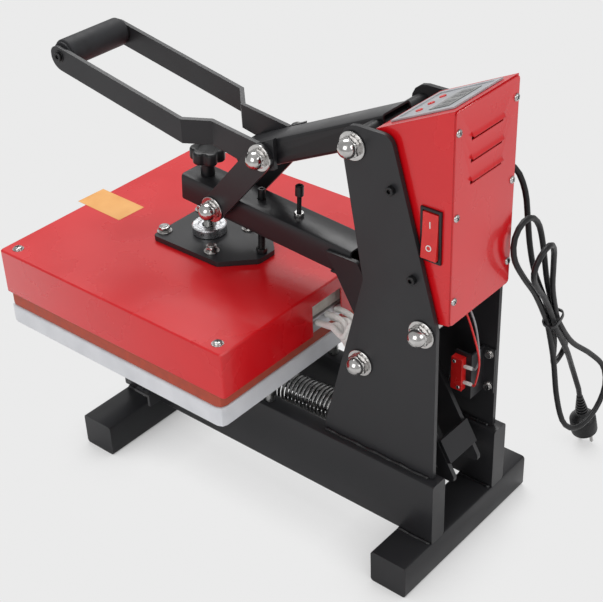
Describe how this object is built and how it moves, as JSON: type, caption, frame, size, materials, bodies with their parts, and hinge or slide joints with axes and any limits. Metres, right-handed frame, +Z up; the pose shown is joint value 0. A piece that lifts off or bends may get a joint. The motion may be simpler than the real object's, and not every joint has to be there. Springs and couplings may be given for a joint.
{
  "type": "flat clamshell heat press",
  "caption": "Flat clamshell heat press with toggle lever, heated head, pressure knob, padded lower platen, control box and mains lead.",
  "frame": {"origin": "on the floor at the middle of the machine's footprint, on its symmetry plane", "axes": "+Z up, -Y towards the operator, X across, with X = 0 the symmetry plane"},
  "size_m": [0.4792, 0.692, 0.6298],
  "materials": {
    "black_paint": "satin",
    "bright_steel": "bright zinc",
    "silver_paint": "satin",
    "orange_rubber": "matt",
    "aluminium": "satin",
    "red_paint": "gloss",
    "black_plastic": "satin",
    "red_plastic": "gloss",
    "display_grey": "gloss",
    "board_green": "satin",
    "insulation": "matt",
    "cord_rubber": "matt"
  },
  "bodies": {
    "base": {"front_foot": "black_paint", "rear_foot": "black_paint", "rail_right": "black_paint", "rail_left": "black_paint", "side_plate_right": "black_paint", "side_plate_left": "black_paint", "platen_bracket_right": "black_paint", "platen_bracket_left": "black_paint", "standoff_front_right": "aluminium", "standoff_front_left": "aluminium", "standoff_rear_right": "aluminium", "standoff_rear_left": "aluminium", "lower_platen": "silver_paint", "silicone_pad": "orange_rubber", "spring_anchor": "black_paint", "lift_spring": "bright_steel", "lever_pivot_bolt": "bright_steel", "arm_pivot_bolt": "bright_steel", "tie_bolt": "bright_steel", "control_box": "red_paint", "rear_panel": "red_paint", "control_board": "board_green", "display_panel": "display_grey", "switch_bezel": "black_plastic", "limit_switch": "red_plastic", "limit_switch_bracket": "black_paint", "cord_gland": "cord_rubber", "power_cord": "cord_rubber", "cord_hank": "cord_rubber", "cord_tie": "black_plastic", "power_plug": "black_plastic"},
    "arm": {"main_arm": "black_paint", "yoke_right": "black_paint", "yoke_left": "black_paint", "yoke_cross_plate": "black_paint", "arm_pivot_sleeve": "black_paint", "spring_pin": "bright_steel", "stop_screw": "black_paint"},
    "lever": {"lever_tube": "black_paint", "handle_bar_right": "black_paint", "handle_bar_left": "black_paint", "handle_grip": "black_plastic", "lever_link_bolt": "bright_steel"},
    "link": {"link_right": "black_paint", "link_left": "black_paint", "link_bolt_right": "bright_steel", "link_bolt_left": "bright_steel"},
    "head": {"mount_plate": "black_paint", "thrust_collar": "aluminium", "head_cover": "red_paint", "heating_platen": "aluminium", "insulation_board": "insulation", "guide_bolt": "black_paint"},
    "knob": {"pressure_knob": "black_plastic"},
    "rocker": {"switch_rocker": "red_plastic"},
    "key_1": {"button_1": "red_plastic"},
    "key_2": {"button_2": "red_plastic"},
    "key_3": {"button_3": "red_plastic"},
    "limit_lever": {"limit_switch_lever": "bright_steel"}
  },
  "joints": [
    {"name": "arm_hinge", "type": "hinge", "parent": "base", "child": "arm", "pos_m": [0, 0.1999, 0.2706], "axis": [-1, 0, 0], "range_deg": [0, 34], "deforming": ["lift_spring"]},
    {"name": "lever_hinge", "type": "hinge", "parent": "base", "child": "lever", "pos_m": [0, 0.1932, 0.5587], "axis": [-1, 0, 0], "range_deg": [0, 51.6]},
    {"name": "link_hinge", "type": "hinge", "parent": "lever", "child": "link", "pos_m": [0, 0.0243, 0.4803], "axis": [-1, 0, 0], "range_deg": [-99.6, 0]},
    {"name": "head_slide", "type": "slide", "parent": "arm", "child": "head", "axis": [0, 0.0688, 0.9976], "range_m": [0, 0.006]},
    {"name": "knob_turn", "type": "hinge", "parent": "head", "child": "knob", "pos_m": [0, -0.1065, 0.38285], "axis": [0, 0.0688, 0.9976], "range_deg": [0, 1081]},
    {"name": "rocker_hinge", "type": "hinge", "parent": "base", "child": "rocker", "pos_m": [0.0597, 0.2938, 0.4765], "axis": [0, 1, 0], "range_deg": [0, 8]},
    {"name": "button_1_slide", "type": "slide", "parent": "base", "child": "key_1", "axis": [0, 0.4237, -0.9058], "range_m": [0, 0.0008], "stiffness_N_per_m": 300},
    {"name": "button_2_slide", "type": "slide", "parent": "base", "child": "key_2", "axis": [0, 0.4237, -0.9058], "range_m": [0, 0.0008], "stiffness_N_per_m": 300},
    {"name": "button_3_slide", "type": "slide", "parent": "base", "child": "key_3", "axis": [0, 0.4237, -0.9058], "range_m": [0, 0.0008], "stiffness_N_per_m": 300},
    {"name": "limit_lever_hinge", "type": "hinge", "parent": "base", "child": "limit_lever", "pos_m": [-0.028, 0.2674, 0.252], "axis": [1, 0, 0], "range_deg": [0, 4.5], "stiffness_Nm_per_rad": 0.05}
  ],
  "couplings": [
    {"joint": "lever_hinge", "follows": "arm_hinge", "ratio": 1.5137},
    {"joint": "link_hinge", "follows": "arm_hinge", "ratio": -2.9262},
    {"joint": "knob_turn", "follows": "head_slide", "rad_per_m": 3141.5}
  ]
}
